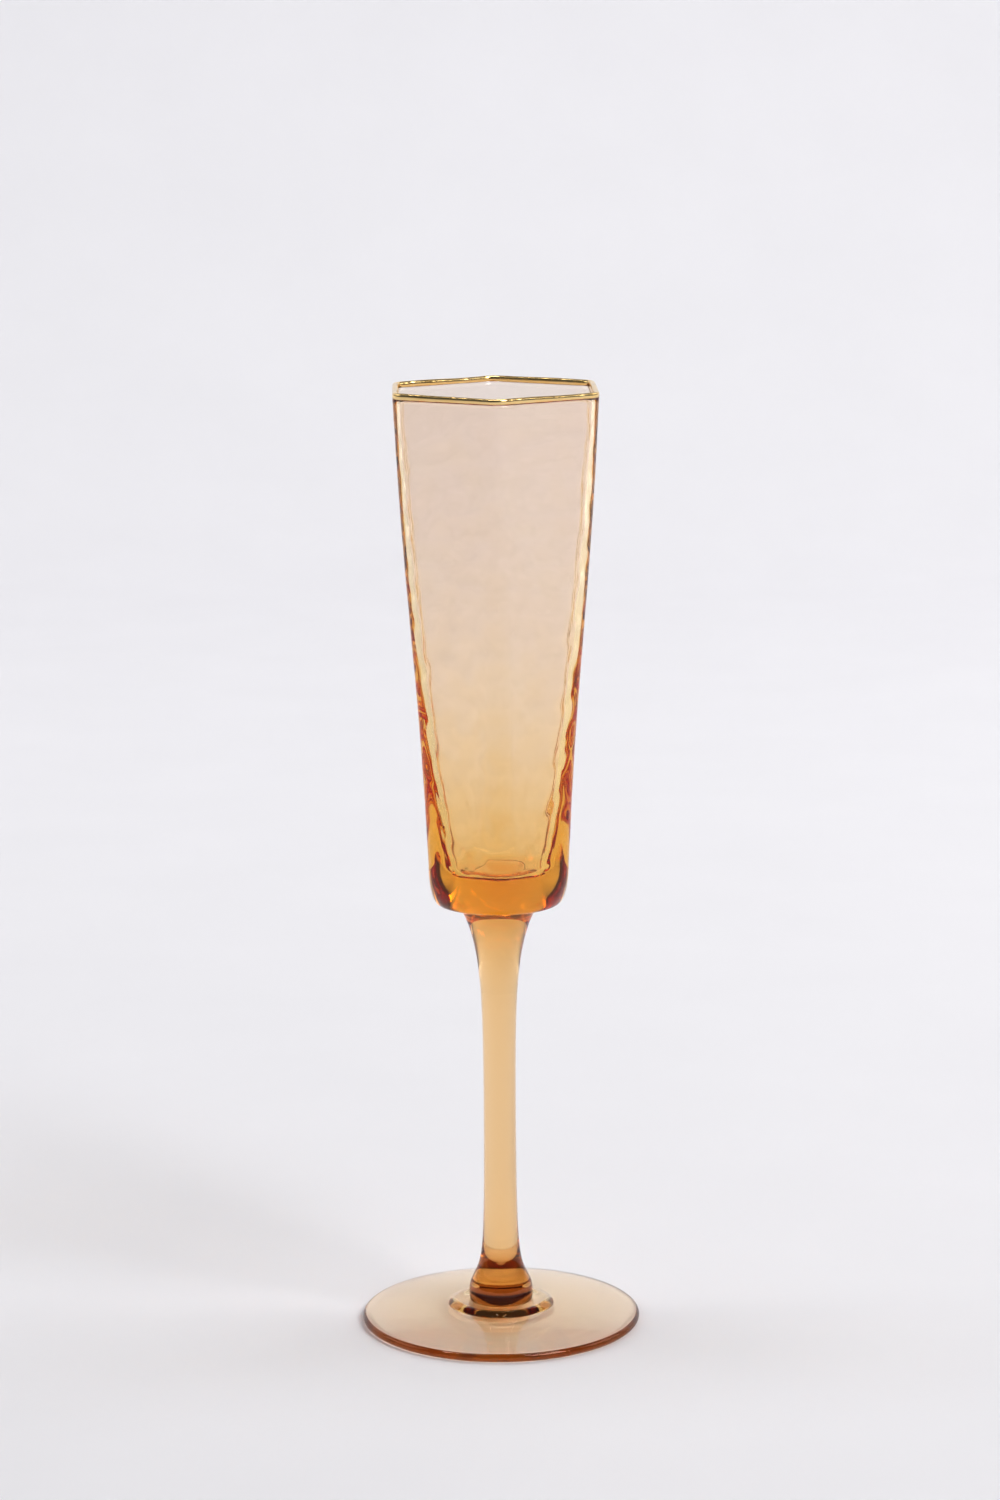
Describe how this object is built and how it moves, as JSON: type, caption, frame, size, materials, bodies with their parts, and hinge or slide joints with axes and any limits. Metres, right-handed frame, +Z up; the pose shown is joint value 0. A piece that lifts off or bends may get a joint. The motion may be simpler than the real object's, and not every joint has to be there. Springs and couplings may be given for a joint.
{
  "type": "champagne flute",
  "caption": "Tall amber glass flute with a tapering hexagonal bowl, a solid flared stem, a low round foot and a gold band over the lip.",
  "frame": {"origin": "on the table plane, on the stem's axis, under the centre of the foot", "axes": "+Z up along the stem's axis; -Y through one upright corner of the six-sided bowl, so +X and -X pass through the middles of two flats"},
  "size_m": [0.071, 0.071, 0.24],
  "materials": {
    "bowl_glass": "clear amber, hammered by the mould",
    "stem_glass": "clear amber, fire polished",
    "foot_glass": "clear amber, fire polished",
    "gold_lustre": "polished gold lustre"
  },
  "bodies": {
    "root": {"bowl": "bowl_glass", "gold_band": "gold_lustre", "stem": "stem_glass", "foot": "foot_glass"}
  },
  "joints": []
}
